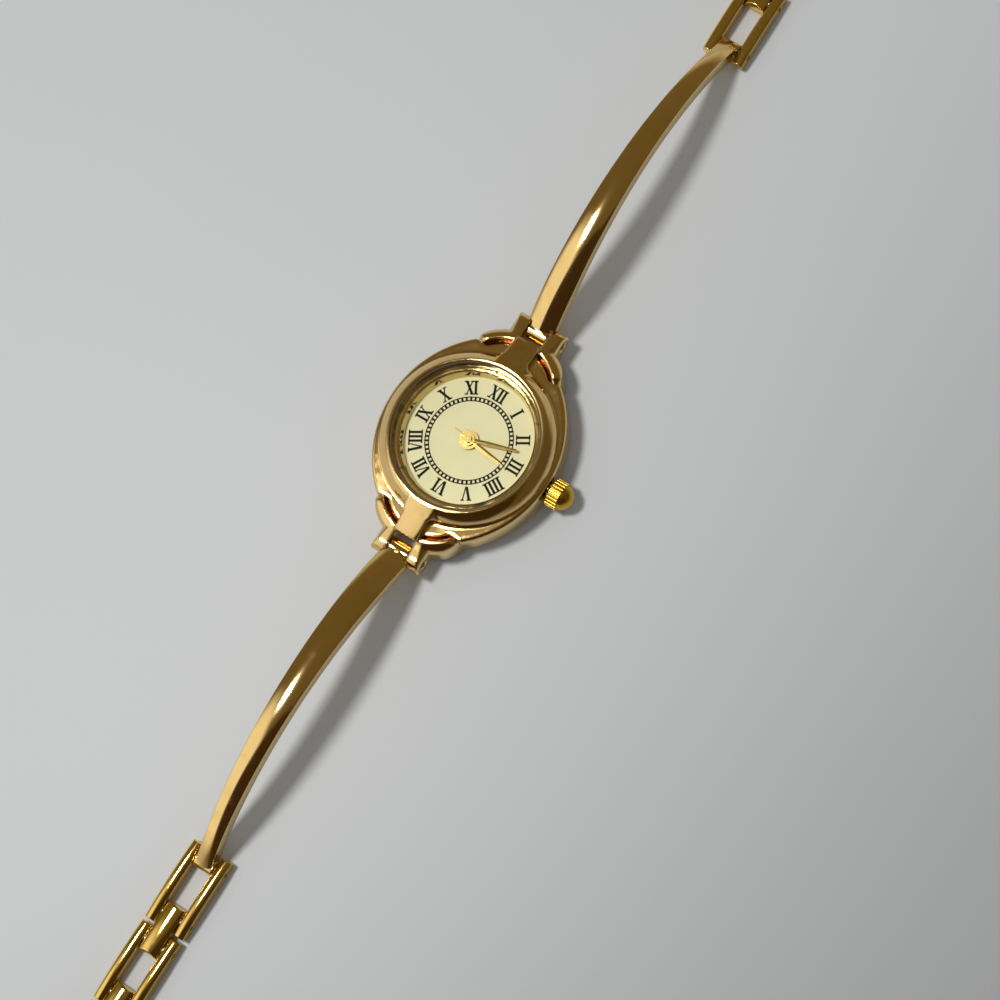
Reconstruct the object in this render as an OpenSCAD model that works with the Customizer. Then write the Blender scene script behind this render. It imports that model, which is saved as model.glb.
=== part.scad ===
// Bangle watch: a small quartz watch head between two arched arms, with link chains and a fold-over clasp.
// +Z is up through the dial, +Y points to 12 o'clock and +X to 3 o'clock.
// The origin is the centre of the case back's outer face, which rests on the table.

/* [Case] */
// Width of the shoulder outside the raised plate, at 3 and 9 o'clock
shoulder_w = 0.6; // [0.4:0.05:0.9]
// Radius of each flank's arc, seen from above
flank_r = 15; // [14.5:0.1:16]
// Height of the flanks' lower edge above the resting face
flank_z0 = 0.5; // [0.4:0.05:0.6]
// Height of the step from the shoulder up to the raised plate
plate_step = 0.5; // [0.4:0.05:0.6]
// Width of the raised plate round the crystal
bezel_w = 1.63; // [1.5:0.01:1.8]
// How far the raised plate falls from its inner edge to its outer edge
plate_fall = 1.55; // [1.4:0.05:1.7]
// How far the raised plate's inner edge stands above the crystal's edge
bezel_lip = 0.15; // [0.1:0.05:0.25]
// Radius of the raised plate's dome, in section
plate_dome_r = 4; // [3:0.5:9]
// Width of the ring that holds the movement in the case
holder_w = 1.2; // [1.1:0.05:1.4]
// Thickness of the case back's rim
back_t = 0.5; // [0.4:0.05:0.6]
// How far the case back's rim reaches past the bore
back_w = 1.15; // [1:0.05:1.4]

/* [Lugs] */
// Distance from the raised plate's edge to each lug pin
lug_reach = 4.95; // [4.8:0.05:5.3]
// Height of the lug pins
lug_pin_z = 3.2; // [3:0.05:3.4]
// Radius of the lug pins
lug_pin_r = 0.5; // [0.4:0.05:0.6]
// Space between the two prongs of a lug
lug_gap = 3.05; // [2.9:0.05:3.3]
// Width of each prong
prong_w = 1.9; // [1.7:0.05:2.1]
// Radius of the prongs' rounded ends, in side view
prong_end_r = 1.45; // [1.3:0.05:1.5]
// Height of the ridge on each prong above the shoulder
ribbon_step = 0.3; // [0.2:0.05:0.4]
// Width of the neck's foot, where it runs from the plate to the lug
neck_w = 3.4; // [3.2:0.05:3.6]
// Width of the neck's flat top at the lug
neck_top_w = 2.8; // [2.5:0.05:2.9]
// Angle by which each side of the neck's flat top spreads towards the plate
neck_spread = 6; // [3:1:9]
// How far inside the raised plate's edge the neck's flat top begins
neck_root = 1.35; // [1:0.05:1.4]
// Height of the neck's end above the raised plate's outer edge
neck_step = 0.25; // [0.1:0.05:0.4]

/* [Crystal and dial] */
// How far the crystal reaches past the bore, onto its ledge
crystal_w = 0.35; // [0.25:0.05:0.4]
// Thickness of the crystal at its edge
crystal_t = 1.15; // [1:0.05:1.25]
// Thickness of the gasket round the crystal
gasket_t = 0.2; // [0.15:0.01:0.25]
// Space between the movement's main plate and the dial, for the hour wheel
dial_gap = 0.55; // [0.55:0.01:0.6]
// Thickness of the dial
dial_t = 0.4; // [0.3:0.05:0.4]
// Width of the sloping ring at its foot on the dial
ring_w = 0.8; // [0.75:0.05:0.95]

/* [Hands] */
// Length of the hour hand
hour_len = 5.2; // [4.5:0.1:5.8]
// Length of the minute hand
minute_len = 6.5; // [6:0.1:7.4]
// Length of the second hand
second_len = 5.8; // [5.2:0.1:7.4]
// Length of the second hand's tail
second_tail = 2.6; // [2:0.1:3.5]
// Thickness of each hand
hand_t = 0.13; // [0.1:0.01:0.15]

/* [Crown] */
// Radius of the crown over its flutes
crown_r = 1.9; // [1.6:0.05:2]
// Length of the crown's fluted barrel
crown_barrel = 1.5; // [1.2:0.1:1.8]
// Length of the crown's domed end
crown_dome = 1.4; // [1:0.1:1.5]
// Depth of the stem's axis below the movement's main plate
stem_drop = 0.4; // [0.36:0.01:0.44]
// Radius of the stem
stem_r = 0.36; // [0.3:0.02:0.38]
// How far the crown pulls out
crown_pull = 0.6; // [0.4:0.05:0.7]

/* [Movement] */
// Radius of the battery
battery_r = 2.9; // [2.8:0.05:3.1]
// Thickness of the battery
battery_t = 1.6; // [1.5:0.05:1.6]
// Distance from the centre to the third wheel's axis
third_a = 2.12; // [2.1:0.01:2.16]
// Distance from the centre to the step wheel's axis
step_a = 2.15; // [2.12:0.01:2.2]
// Distance from the step wheel's axis to the rotor's
rotor_a = 1.8; // [1.75:0.01:1.85]
// Distance from the centre to the minute wheel's axis
motion_a = 1.92; // [1.88:0.01:1.96]
// Thickness of the toothed wheels
wheel_t = 0.13; // [0.1:0.01:0.14]

/* [Arms] */
// Straight distance between an arm's two pins
arm_chord = 45.25; // [42:0.25:48]
// Height of the arm's arch over that line
arm_rise = 7.6; // [7:0.1:8.2]
// Width of an arm at the case
arm_w = 3.9; // [3.6:0.1:4.2]
// Width of an arm at the link
arm_end_w = 2.3; // [2.1:0.1:2.5]
// Thickness of an arm along its middle
arm_t = 2; // [1.8:0.05:2.1]
// Sideways radius of the arm's domed back
arm_dome_r = 4; // [3.4:0.1:4.8]

/* [Links] */
// Width of a link over its two side bars
link_w = 5.8; // [5.7:0.1:6.2]
// Thickness of the links
link_h = 2.2; // [2:0.05:2.3]
// Width of each side bar
bar_w = 1.4; // [1.3:0.05:1.45]
// Distance between the two pins of a link
link_pitch = 7.6; // [7:0.1:8.4]
// Distance between the two pins of a centre link
centre_pitch = 3.9; // [3.8:0.05:4.4]
// Radius of the link pins
link_pin_r = 0.45; // [0.4:0.05:0.5]
// Radius of a side bar's domed top, across it
bar_dome_r = 1; // [0.9:0.05:1.2]
// Radius of a centre link's domed top, across it
centre_dome_r = 2.4; // [2.2:0.1:3]
// Radius of the links' tops along the chain
link_crown_r = 40; // [30:2:60]
// How far a side bar reaches past its pin
bar_end = 1.75; // [1.6:0.05:1.8]

/* [Clasp] */
// Length of the clasp, from its pin to its hooked end
clasp_len = 13; // [12:0.5:15]
// Thickness of the clasp's sheet
sheet_t = 0.5; // [0.4:0.05:0.55]

/* [Fits] */
// Gap all round a turning pin
pin_fit = 0.04; // [0.02:0.01:0.06]
// Gap between pieces that turn side by side
side_fit = 0.2; // [0.15:0.01:0.25]
// Gap round pieces that are seated in one another
seat_fit = 0.02; // [0.01:0.005:0.03]

/* [Hidden] */
$fn = 64;

GOLD = [0.80, 0.62, 0.30];
BRIGHT_GOLD = [0.93, 0.74, 0.28];
STEEL = [0.72, 0.73, 0.74];
BRASS = [0.78, 0.65, 0.36];

// Teeth of the train, and the modules that their distances give
rotor_teeth = 8;
step_teeth = 40;
step_leaves = 8;
seconds_teeth = 48;
seconds_leaves = 8;
third_teeth = 60;
third_leaves = 8;
centre_teeth = 64;
cannon_teeth = 12;
minute_teeth = 36;
minute_leaves = 10;
hour_teeth = 40;
rotor_m = 2 * rotor_a / (rotor_teeth + step_teeth);
step_m = 2 * step_a / (step_leaves + seconds_teeth);
seconds_m = 2 * third_a / (seconds_leaves + third_teeth);
third_m = 2 * third_a / (third_leaves + centre_teeth);
cannon_m = 2 * motion_a / (cannon_teeth + minute_teeth);
hour_m = 2 * motion_a / (minute_leaves + hour_teeth);
// A tooth's height above and below its wheel's pitch circle, in modules
addendum = 0.8;
dedendum = 1.2;

// The movement is as large as its train and battery need, and the case is built round it
train_gap = 0.1;
rim_gap = 0.05;
seconds_tip = step_m * (seconds_teeth / 2 + addendum);
plate_move_r = seconds_tip + train_gap + 2 * battery_r + rim_gap;
bore_r = plate_move_r + holder_w;
back_r = bore_r + back_w;
crystal_r = bore_r + crystal_w;
// Radius of the seat that takes the crystal and its gasket
seat_r = crystal_r + gasket_t + seat_fit;
plate_r = seat_r + bezel_w;
case_w = 2 * (plate_r + shoulder_w);
// Sideways offset of each flank's centre
flank_shift = flank_r - case_w / 2;
lug_pin_y = plate_r + lug_reach;
dial_view_r = bore_r - ring_w;

// The heights are counted up from the case back: battery, main plate, dial, crystal, raised plate
strap_gap = 0.25;
battery_gap = 0.5;
plate_t = 0.4;
battery_z = back_t + strap_gap;
plate_z = battery_z + battery_t + battery_gap;
plate_top = plate_z + plate_t;
dial_z = plate_top + dial_gap + dial_t;
stem_z = plate_z - stem_drop;
// The ledge under the crystal
ledge_t = 0.3;
ledge_w = 0.5;
ledge_rise = 1.1;
ledge_r = bore_r - ledge_w;
ledge_z = dial_z + ledge_rise;
crystal_z = ledge_z + ledge_t;
bezel_z = crystal_z + crystal_t + bezel_lip;
plate_edge_z = bezel_z - plate_fall;
shoulder_z = plate_edge_z - plate_step;
neck_z = plate_edge_z + neck_step;
ribbon_z = shoulder_z + ribbon_step;

// Where the neck ends, clear of the arm's barrel
neck_gap = 0.6;
barrel_r = prong_end_r - 0.15;
neck_y = lug_pin_y - barrel_r - neck_gap;
// Middle of a prong, to the side
prong_x = (lug_gap + prong_w) / 2;

// Flat land between the seat and the dome
bezel_land = 0.15;

// The train's levels, counted up from the bridge
bridge_t = 0.3;
train_space = 1;
bridge_top = plate_z - train_space;
bridge_z = bridge_top - bridge_t;
level_a = bridge_top + 0.12;
level_b = level_a + wheel_t + 0.12;
level_c = level_b + wheel_t + 0.12;
pivot_r = 0.12;
// Pivot gap in the plates
pivot_fit = 0.03;

// Where the movement's axes stand, seen from above
function polar(r, a) = [r * cos(a), r * sin(a)];
third_dir = 75;
step_dir = 215;
motion_dir = 35;
battery_dir = -58;
third_at = polar(third_a, third_dir);
step_at = polar(step_a, step_dir);
rotor_at = polar(step_a + rotor_a, step_dir);
motion_at = polar(motion_a, motion_dir);
battery_at = polar(plate_move_r - battery_r - rim_gap, battery_dir);
pillar_r = 0.45;
PILLARS = [[-3.55, 1.9], [3.15, 1.45], [-0.9, -3.65]];
bridge_at = [-0.3, 0.3];
bridge_r = 4.4;

// The tubes that carry the hands, one inside the other
seconds_r = 0.12;
cannon_r = 0.42;
hour_tube_r = 0.74;
tube_fit = 0.05;
hour_hand_z = dial_z + 0.32;
minute_hand_z = hour_hand_z + hand_t + 0.16;
second_hand_z = minute_hand_z + hand_t + 0.14;

// Where the hands stand, clockwise from 12: a little after 3:12
hour_angle = 96.1;
minute_angle = 73.6;
second_angle = 97.6;

// The stem and the parts on it
tube_r = 0.75;
stem_in = plate_move_r - 3.5;
crown_x = case_w / 2 + 0.35;
lever_at = [plate_move_r - 1.75, 2.15];
groove_x = lever_at[0];
groove_w = 0.62;
groove_r = 0.2;
pinion_x = stem_in + 0.2;
// The stem's end stays inside the pinion when the crown is pulled out
pinion_l = crown_pull + 0.15;
pinion_r = 0.6;

// The chain lies along Y: each side's pins, from the case outwards
chain_z = link_h / 2;
arm_tilt = asin((lug_pin_z - chain_z) / arm_chord);
arm_run = arm_chord * cos(arm_tilt);
first_pin = lug_pin_y + arm_run;
step_pitch = link_pitch + centre_pitch;
function pin_near(i) = first_pin + i * step_pitch;
function pin_far(i) = pin_near(i) + link_pitch;
inner_w = link_w - 2 * bar_w;
tongue_w = inner_w - 2 * side_fit;
clasp_pin_y = pin_far(1) + centre_pitch;

// An arc's centre, from two points on it and its radius, on the right going from a to b
function arc_centre(a, b, r) =
  let (d = b - a, l = norm(d))
  (a + b) / 2 + [d[1], -d[0]] / l * sqrt(r * r - l * l / 4);
function arc_points(c, r, a0, a1, n) =
  [for (i = [0:n]) c + polar(r, a0 + (a1 - a0) * i / n)];

// A solid of one side, repeated on the other side of the case
module both_ends() {
  children();
  mirror([0, 1, 0]) children();
}

module both_sides() {
  children();
  mirror([1, 0, 0]) children();
}

// The side of the case at 12 or 6
module at_end(side) {
  mirror([0, side == "6" ? 1 : 0, 0]) children();
}

// A ring from z0 to z1
module ring(r_in, r_out, z0, z1) {
  difference() {
    translate([0, 0, z0]) cylinder(r = r_out, h = z1 - z0);
    translate([0, 0, z0 - 1]) cylinder(r = r_in, h = z1 - z0 + 2);
  }
}

// A pin along X, centred on the middle plane
module cross_pin(r, length) {
  rotate([0, 90, 0]) cylinder(r = r, h = length, center = true);
}

// A toothed disc: straight-sided teeth with thinned flanks, one tooth pointing along phase
module toothed(teeth, m, t, phase = 0) {
  pitch = 360 / teeth;
  root = m * (teeth / 2 - dedendum);
  tip = m * (teeth / 2 + addendum);
  spread = [-0.24, -0.1, 0.1, 0.24];
  reach = [root, tip, tip, root];
  linear_extrude(t)
    polygon([
      for (i = [0:teeth - 1])
        for (k = [0:3])
          polar(reach[k], phase + (i + spread[k]) * pitch)
    ]);
}

// One flank's body of revolution: rounded below and above
module flank_turned() {
  low = 0.7;
  high = 0.45;
  rotate_extrude($fn = 128)
    polygon(concat(
      [[0, flank_z0]],
      arc_points([flank_r - low, flank_z0 + low], low, -90, 0, 4),
      arc_points([flank_r - high, shoulder_z - high], high, 0, 90, 4),
      [[0, shoulder_z]]
    ));
}

module flanks() {
  intersection() {
    translate([-flank_shift, 0, 0]) flank_turned();
    translate([flank_shift, 0, 0]) flank_turned();
  }
}

// The raised plate's domed back runs between these points of its section, on an arc round plate_c
plate_in = [seat_r + bezel_land, bezel_z];
plate_out = [plate_r, plate_edge_z];
plate_c = arc_centre(plate_in, plate_out, plate_dome_r);
function plate_height(r) = plate_c[1] + sqrt(plate_dome_r * plate_dome_r - pow(r - plate_c[0], 2));

// The raised plate: a ring with a domed back
module raised_plate() {
  a0 = atan2(plate_in[1] - plate_c[1], plate_in[0] - plate_c[0]);
  a1 = atan2(plate_out[1] - plate_c[1], plate_out[0] - plate_c[0]);
  rotate_extrude($fn = 128)
    polygon(concat(
      [[ledge_r - 0.2, flank_z0 + 1], [ledge_r - 0.2, bezel_z]],
      arc_points(plate_c, plate_dome_r, a0, a1, 8),
      [[plate_r, flank_z0 + 1]]
    ));
}

// The neck's top runs on from the plate's dome in a slightly hollow sweep to the lug, turned round the same axis
neck_near = plate_r - neck_root;
neck_near_z = plate_height(neck_near);
neck_sweep_r = 60;

module neck_turned() {
  sweep = arc_centre([neck_y, neck_z], [neck_near, neck_near_z], neck_sweep_r);
  a0 = atan2(neck_near_z - sweep[1], neck_near - sweep[0]);
  a1 = atan2(neck_z - sweep[1], neck_y - sweep[0]);
  low = flank_z0 + 1;
  past = neck_y + 0.3;
  rotate_extrude($fn = 128)
    polygon(concat(
      [[neck_near, low]],
      arc_points(sweep, neck_sweep_r, a0, a1, 6),
      [[past, neck_z], [past, low]]
    ));
}

// What lies on the inner side of the neck's right slope, which spreads towards the plate
module neck_slope() {
  lean = atan((neck_near_z - neck_z) / (neck_y - neck_near));
  reach = 8;
  drop = 4;
  lift = 0.5;
  translate([neck_top_w / 2, neck_y, neck_z])
    rotate([90 - lean, 0, neck_spread])
      translate([0, 0, -1])
        linear_extrude(reach)
          polygon([[-reach, -drop], [-reach, lift], [0, lift], [0, 0], [drop, -drop]]);
}

// The neck from the raised plate to the lug: flared at its foot, with sloping sides and a flat top
module neck() {
  flare = 1.2;
  bite = 0.04;
  half = neck_w / 2;
  in_y = neck_near - 0.3;
  cx = half + flare - bite;
  cy = sqrt(pow(plate_r + flare - bite, 2) - cx * cx);
  intersection() {
    translate([0, 0, flank_z0 + 1])
      linear_extrude(bezel_z)
        union() {
          translate([-half, in_y]) square([neck_w, neck_y - in_y]);
          difference() {
            translate([-cx, in_y]) square([2 * cx, cy - in_y]);
            for (s = [-1, 1]) translate([s * cx, cy]) circle(r = flare);
          }
        }
    neck_turned();
    neck_slope();
    mirror([1, 0, 0]) neck_slope();
  }
}

// The leaf's inner rim is an arc round leaf_in, its outer edge an arc round leaf_out
leaf_in = [0.39, lug_pin_y - 8.54];
leaf_in_r = 6.2;
leaf_out = [1.89, lug_pin_y - 5.49];
leaf_out_r = 4.38;
leaf_tip_r = 4.35;
leaf_root = [lug_gap / 2 + 0.98, lug_pin_y - 2];
ribbon_fall = 1.5;

// Turned round the leaf's inner rim: highest at the rim, rounded off outwards
module leaf_turned(height, reach) {
  c = [leaf_in_r + 0.1, height - ribbon_fall];
  translate([leaf_in[0], leaf_in[1], 0])
    rotate_extrude($fn = 128)
      polygon(concat(
        [[leaf_in_r - 0.6, flank_z0 + 0.2], [leaf_in_r - 0.6, height]],
        arc_points(c, ribbon_fall, 90, 0, 8),
        [[c[0] + ribbon_fall + reach, height - ribbon_fall], [c[0] + ribbon_fall + reach, flank_z0 + 0.2]]
      ));
}

// The leaf's rounded end
module leaf_end() {
  round_r = 1.3;
  translate([leaf_root[0], leaf_root[1], 0])
    rotate_extrude($fn = 96)
      polygon(concat(
        [[0, flank_z0 + 0.2], [leaf_tip_r, flank_z0 + 0.2]],
        arc_points([leaf_tip_r - round_r, ribbon_z - round_r], round_r, 0, 90, 6),
        [[0, ribbon_z]]
      ));
}

// The leaf that flares out from a prong and runs down the flank
module leaf() {
  intersection() {
    translate([0, 0, flank_z0 + 0.2])
      linear_extrude(ribbon_z)
        difference() {
          intersection() {
            translate(leaf_out) circle(r = leaf_out_r, $fn = 96);
            translate([lug_gap / 2 + 0.3, 0]) square(2 * lug_pin_y);
          }
          translate(leaf_in) circle(r = leaf_in_r, $fn = 128);
        }
    leaf_turned(ribbon_z, 1);
    leaf_end();
  }
}

// A prong: a ribbon with its ridge along the gap, whose side view ends in a disc round the pin
module prong() {
  lip = 0.3;
  back_y = lug_pin_y - 3.2;
  edge = sqrt(prong_end_r * prong_end_r - lip * lip) - 0.02;
  crown = 2;
  inner = lug_gap / 2;
  difference() {
    intersection() {
      union() {
        translate([inner, back_y, flank_z0]) cube([prong_w, 8, ribbon_z - crown - flank_z0]);
        translate([inner + 0.12, back_y, ribbon_z - crown])
          rotate([-90, 0, 0]) cylinder(r = crown, h = 8, $fn = 96);
      }
      translate([inner, back_y - 1, 0]) cube([prong_w, 12, 9]);
      union() {
        translate([inner - 1, 0, 0])
          rotate([90, 0, 90])
            linear_extrude(prong_w + 2)
              polygon([
                [back_y, flank_z0 + 0.15],
                [lug_pin_y - 2.6, flank_z0 + 0.15],
                [lug_pin_y + 0.1, lug_pin_z - sqrt(prong_end_r * prong_end_r - 0.01) + 0.02],
                [lug_pin_y + lip, lug_pin_z],
                [lug_pin_y + lip, lug_pin_z + edge],
                [back_y, ribbon_z + 0.1]
              ]);
        translate([prong_x, lug_pin_y, lug_pin_z]) cross_pin(prong_end_r, 2 * prong_w);
      }
    }
    translate([leaf_in[0], leaf_in[1], -1]) cylinder(r = leaf_in_r, h = 9, $fn = 128);
  }
}

// The almond-shaped hollow between the leaf and the shoulder: a groove along the leaf's inner rim
module leaf_hollow() {
  near = [lug_gap / 2 + 0.1, lug_pin_y - 2.35];
  far = [near[0] + 4, near[1] - 2.4];
  side = [far[1] - near[1], near[0] - far[0]] / norm(far - near);
  half = norm(far - near) / 2;
  sag = 0.85;
  depth = 0.95;
  groove_in = 0.75;
  groove_out = 2.5;
  top = ribbon_z + 1;
  r = (half * half + sag * sag) / (2 * sag);
  c = (near + far) / 2 + side * (sag - r);
  intersection() {
    translate([0, 0, -1])
      linear_extrude(top + 2)
        translate(c) circle(r = r, $fn = 96);
    translate([leaf_in[0], leaf_in[1], 0])
      rotate_extrude($fn = 128)
        polygon([
          [leaf_in_r - groove_in, shoulder_z + 0.1],
          [leaf_in_r - 0.05, shoulder_z - depth],
          [leaf_in_r + groove_out, shoulder_z - depth],
          [leaf_in_r + groove_out, top],
          [leaf_in_r - groove_in, top]
        ]);
  }
}

module case_body() {
  color(GOLD)
    difference() {
      union() {
        difference() {
          union() {
            flanks();
            raised_plate();
          }
          both_ends() both_sides() leaf_hollow();
        }
        both_ends() {
          neck();
          both_sides() {
            prong();
            leaf();
          }
        }
      }
      // The lug's gap and the pin's bores
      both_ends() {
        translate([-lug_gap / 2, neck_y, -1]) cube([lug_gap, 6, 9]);
        translate([0, lug_pin_y, lug_pin_z]) cross_pin(lug_pin_r + seat_fit, 12);
      }
      // The bore from behind, and the crystal's seat from above
      translate([0, 0, -1]) cylinder(r = bore_r, h = ledge_z + 1);
      translate([0, 0, -1]) cylinder(r = bore_r + 0.4, h = 1 + flank_z0 + 0.35);
      translate([0, 0, ledge_z - 1]) cylinder(r = ledge_r, h = 6);
      translate([0, 0, crystal_z]) cylinder(r = seat_r, h = 6, $fn = 128);
      // The stem's hole
      translate([bore_r - 2, 0, stem_z]) rotate([0, 90, 0]) cylinder(r = tube_r + seat_fit, h = 8);
    }
}

module case_back() {
  plug = 0.5;
  color(STEEL)
    difference() {
      union() {
        cylinder(r = back_r, h = back_t - seat_fit);
        cylinder(r = bore_r - 0.06, h = flank_z0 + 0.6);
      }
      translate([0, 0, back_t - 0.1]) cylinder(r = bore_r - 0.06 - plug, h = 3);
      // The notch for the case knife
      translate([back_r - 0.3, -0.9, back_t - 0.2]) cube([1, 1.8, 1]);
    }
}

module back_gasket() {
  color([0.15, 0.15, 0.16])
    ring(bore_r - 0.04, bore_r + 0.4 - seat_fit, flank_z0, flank_z0 + 0.35 - seat_fit);
}

module lug_pins() {
  color(STEEL)
    both_ends()
      translate([0, lug_pin_y, lug_pin_z])
        cross_pin(lug_pin_r, lug_gap + 2 * prong_w - 0.5);
}

module crystal() {
  rise = 0.2;
  bevel = 0.1;
  edge = crystal_r - bevel;
  cap_r = (edge * edge + rise * rise) / (2 * rise);
  top = crystal_z + crystal_t;
  color([0.85, 0.92, 0.95, 0.35])
    rotate_extrude($fn = 128)
      polygon(concat(
        [[0, crystal_z], [crystal_r, crystal_z], [crystal_r, top - bevel]],
        arc_points([0, top + rise - cap_r], cap_r, 90 - asin(edge / cap_r), 90, 6)
      ));
}

module crystal_gasket() {
  color([0.35, 0.26, 0.16])
    ring(crystal_r + seat_fit / 2, seat_r - seat_fit / 2, crystal_z, crystal_z + crystal_t - 0.1, $fn = 128);
}

// The polished ring that slopes from the dial up to the crystal's ledge
module dial_ring() {
  color(GOLD)
    rotate_extrude($fn = 128)
      polygon([
        [dial_view_r, dial_z],
        [bore_r - 0.05, dial_z],
        [bore_r - 0.05, ledge_z - seat_fit],
        [ledge_r, ledge_z - seat_fit],
        [dial_view_r + 0.1, dial_z + 0.45]
      ]);
}

module dial() {
  color([0.93, 0.89, 0.74])
    ring(hour_tube_r + 0.1, bore_r - 0.1, dial_z - dial_t, dial_z);
}

// A hand from its hub outwards, ridged along its middle: w wide at its widest, w_end at the tip
module hand(length, w, w_end, hub_r, hole_r) {
  edge_t = 0.3 * hand_t;
  difference() {
    union() {
      cylinder(r = hub_r, h = hand_t);
      intersection() {
        linear_extrude(hand_t)
          polygon([
            [-w / 3, 0], [-w / 2, length * 0.4], [-w_end / 2, length - w_end / 2],
            [0, length], [w_end / 2, length - w_end / 2], [w / 2, length * 0.4], [w / 3, 0]
          ]);
        rotate([90, 0, 180])
          linear_extrude(length)
            polygon([[-w / 2, 0], [w / 2, 0], [w / 2, edge_t], [0, hand_t], [-w / 2, edge_t]]);
      }
    }
    translate([0, 0, -1]) cylinder(r = hole_r, h = 3);
  }
}

module hour_hand() {
  color(BRIGHT_GOLD)
    translate([0, 0, hour_hand_z]) rotate([0, 0, -hour_angle])
      hand(hour_len, 0.66, 0.4, 1.25, hour_tube_r + seat_fit / 2);
}

module minute_hand() {
  color(BRIGHT_GOLD)
    translate([0, 0, minute_hand_z]) rotate([0, 0, -minute_angle])
      hand(minute_len, 0.6, 0.34, 0.85, cannon_r + seat_fit / 2);
}

module second_hand() {
  color(BRIGHT_GOLD)
    translate([0, 0, second_hand_z]) rotate([0, 0, -second_angle])
      difference() {
        union() {
          cylinder(r = 0.5, h = hand_t);
          linear_extrude(hand_t)
            polygon([
              [-0.09, -second_tail], [0.09, -second_tail],
              [0.06, second_len], [-0.06, second_len]
            ]);
        }
        translate([0, 0, -1]) cylinder(r = seconds_r + seat_fit / 2, h = 3);
      }
}

// A fluted barrel with a domed end, hollow behind to take the tube
module crown() {
  flutes = 24;
  dome_base = crown_r - 0.25;
  dome_r = (dome_base * dome_base + crown_dome * crown_dome) / (2 * crown_dome);
  color(BRIGHT_GOLD)
    translate([crown_x, 0, stem_z])
      rotate([0, 90, 0])
        difference() {
          union() {
            linear_extrude(crown_barrel)
              difference() {
                circle(r = crown_r);
                for (i = [0:flutes - 1])
                  rotate(i * 360 / flutes) translate([crown_r + 0.04, 0]) circle(r = 0.17, $fn = 24);
              }
            intersection() {
              translate([0, 0, crown_barrel - 0.2]) cylinder(r = dome_base, h = crown_dome + 1);
              translate([0, 0, crown_barrel + crown_dome - dome_r]) sphere(r = dome_r, $fn = 96);
            }
          }
          translate([0, 0, -1]) cylinder(r = tube_r + 0.4, h = 1.7);
          translate([0, 0, -1]) cylinder(r = stem_r + seat_fit / 2, h = 2 + crown_barrel / 2);
        }
}

module crown_gasket() {
  color([0.15, 0.15, 0.16])
    translate([crown_x, 0, stem_z]) rotate([0, 90, 0])
      ring(tube_r + 0.06, tube_r + 0.4 - seat_fit, 0.3, 0.68);
}

module stem_tube() {
  color(STEEL)
    translate([bore_r + 0.3, 0, stem_z]) rotate([0, 90, 0])
      ring(stem_r + pin_fit, tube_r, 0, crown_x + 0.55 - bore_r - 0.3);
}

// The stem: a rod with one groove for the setting lever's nose
module stem() {
  far = crown_x + 1 + crown_barrel / 2 - 0.1;
  color(STEEL)
    translate([0, 0, stem_z])
      rotate([0, 90, 0])
        difference() {
          translate([0, 0, stem_in]) cylinder(r = stem_r, h = far - stem_in);
          ring(groove_r, 2, groove_x - groove_w / 2, groove_x + groove_w / 2);
        }
}

module setting_pinion() {
  color(STEEL)
    translate([pinion_x, 0, stem_z])
      rotate([0, 90, 0])
        difference() {
          toothed(12, pinion_r / 6.8, pinion_l);
          translate([0, 0, -1]) cylinder(r = stem_r + pin_fit, h = 4);
        }
}

// A flat lever on the plate's post, its nose in the stem's groove
module setting_lever() {
  lever_t = 0.25;
  nose = 0.26;
  eye = 0.5;
  color(STEEL)
    translate([lever_at[0], lever_at[1], stem_z - lever_t / 2])
      difference() {
        union() {
          cylinder(r = eye, h = lever_t);
          translate([-nose / 2, groove_r + 0.1 - lever_at[1], 0])
            cube([nose, lever_at[1] - groove_r - 0.1, lever_t]);
          translate([-0.35, 0.65 - lever_at[1], 0]) cube([0.7, lever_at[1] - 0.65, lever_t]);
        }
        translate([0, 0, -1]) cylinder(r = 0.2 + pin_fit, h = 3);
      }
}

module movement_holder() {
  color([0.9, 0.9, 0.88])
    difference() {
      union() {
        ring(plate_move_r + 0.05, bore_r - 0.1, flank_z0 + 0.62, dial_z - dial_t - seat_fit);
        ring(plate_move_r - 0.35, bore_r - 0.1, plate_z - 0.35, plate_z - seat_fit);
      }
      translate([0, 0, stem_z]) rotate([0, 90, 0]) cylinder(r = stem_r + 0.3, h = 12);
      translate([0, -stem_r - 0.3, stem_z]) cube([12, 2 * (stem_r + 0.3), 3]);
    }
}

module main_plate() {
  color(BRASS)
    difference() {
      union() {
        translate([0, 0, plate_z]) cylinder(r = plate_move_r, h = plate_t);
        for (p = PILLARS)
          translate([p[0], p[1], bridge_top + seat_fit])
            cylinder(r = pillar_r, h = plate_z - bridge_top);
        // The setting lever's post
        translate([lever_at[0], lever_at[1], stem_z - 0.3]) cylinder(r = 0.2, h = plate_z - stem_z + 0.4);
      }
      translate([0, 0, plate_z - 1]) cylinder(r = cannon_r + tube_fit, h = 4);
      for (p = [third_at, rotor_at, step_at, motion_at])
        translate([p[0], p[1], plate_z - 1]) cylinder(r = pivot_r + pivot_fit, h = 4);
      for (p = PILLARS)
        translate([p[0], p[1], bridge_z - 1]) cylinder(r = 0.2 + seat_fit, h = plate_z - bridge_z + 0.9);
      // The slot over the setting pinion
      translate([pinion_x - 0.15, -pinion_r - 0.15, plate_z - 1])
        cube([pinion_l + 0.3, 2 * pinion_r + 0.3, 3]);
    }
}

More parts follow.
